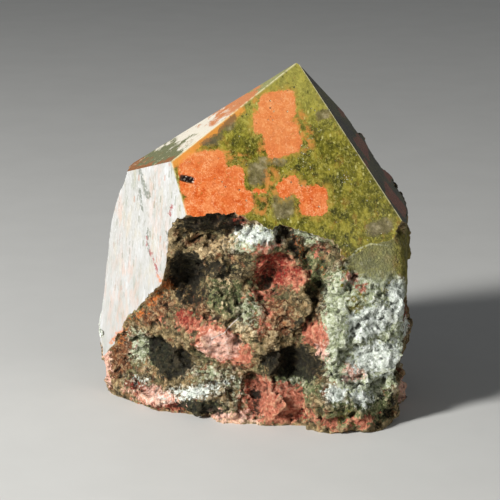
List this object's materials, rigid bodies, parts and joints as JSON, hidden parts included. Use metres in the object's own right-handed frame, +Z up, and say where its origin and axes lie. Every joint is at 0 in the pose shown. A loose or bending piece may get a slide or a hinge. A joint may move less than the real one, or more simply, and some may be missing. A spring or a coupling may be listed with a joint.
{
  "type": "unakite point",
  "caption": "Upright lump of green and salmon stone, rough-broken low down, with flat polished faces ground to a point on top and a flat spot underneath.",
  "frame": {"origin": "on the flat spot that the stone rests on, below the middle of the stone", "axes": "+Z up towards the tip, -Y the side with the large polished face and the broken front, +X to the right seen from that side"},
  "size_m": [0.0715, 0.0594, 0.0758],
  "materials": {
    "unakite": "polished on the ground faces, rough where broken"
  },
  "bodies": {
    "root": {"unakite_point": "unakite"}
  },
  "joints": []
}
